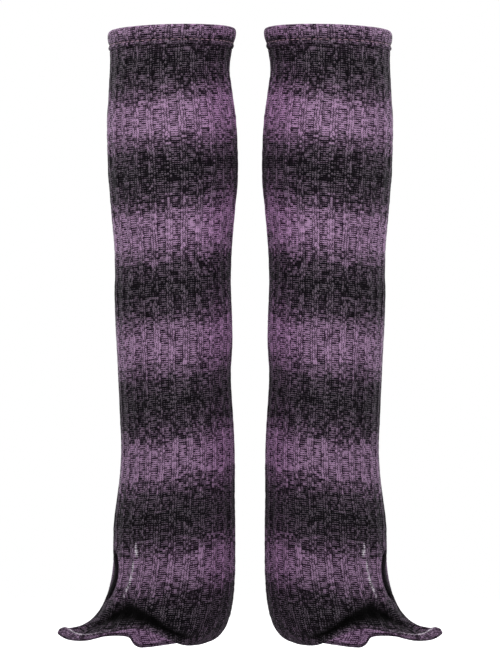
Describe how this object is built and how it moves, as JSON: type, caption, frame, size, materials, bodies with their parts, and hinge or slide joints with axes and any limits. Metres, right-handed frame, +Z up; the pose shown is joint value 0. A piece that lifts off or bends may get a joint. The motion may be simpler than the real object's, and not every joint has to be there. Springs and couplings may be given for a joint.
{
  "type": "pair of leg warmers",
  "caption": "Pair of over-the-knee ribbed knit leg warmers, filled out as worn, with turned elastic casings and a foot opening that points forward over the instep.",
  "frame": {"origin": "midway between the two casings, at the height of their middle, where the thighs hold the pair up", "axes": "+Z up along the legs, +X from the left leg in the picture to the right one, -Y towards the viewer; the foot points lie outwards along X"},
  "size_m": [0.458, 0.1296, 0.7427],
  "materials": {
    "casing_knit": "marled knit, turned over elastic",
    "ribbed_knit": "wide-ribbed marled knit in faded purple and black bands",
    "hem_knit": "narrow turned knit edge"
  },
  "bodies": {
    "root": {"casing_left": "casing_knit", "leg_tube_left": "ribbed_knit", "foot_hem_left": "hem_knit", "casing_right": "casing_knit", "leg_tube_right": "ribbed_knit", "foot_hem_right": "hem_knit"}
  },
  "joints": []
}
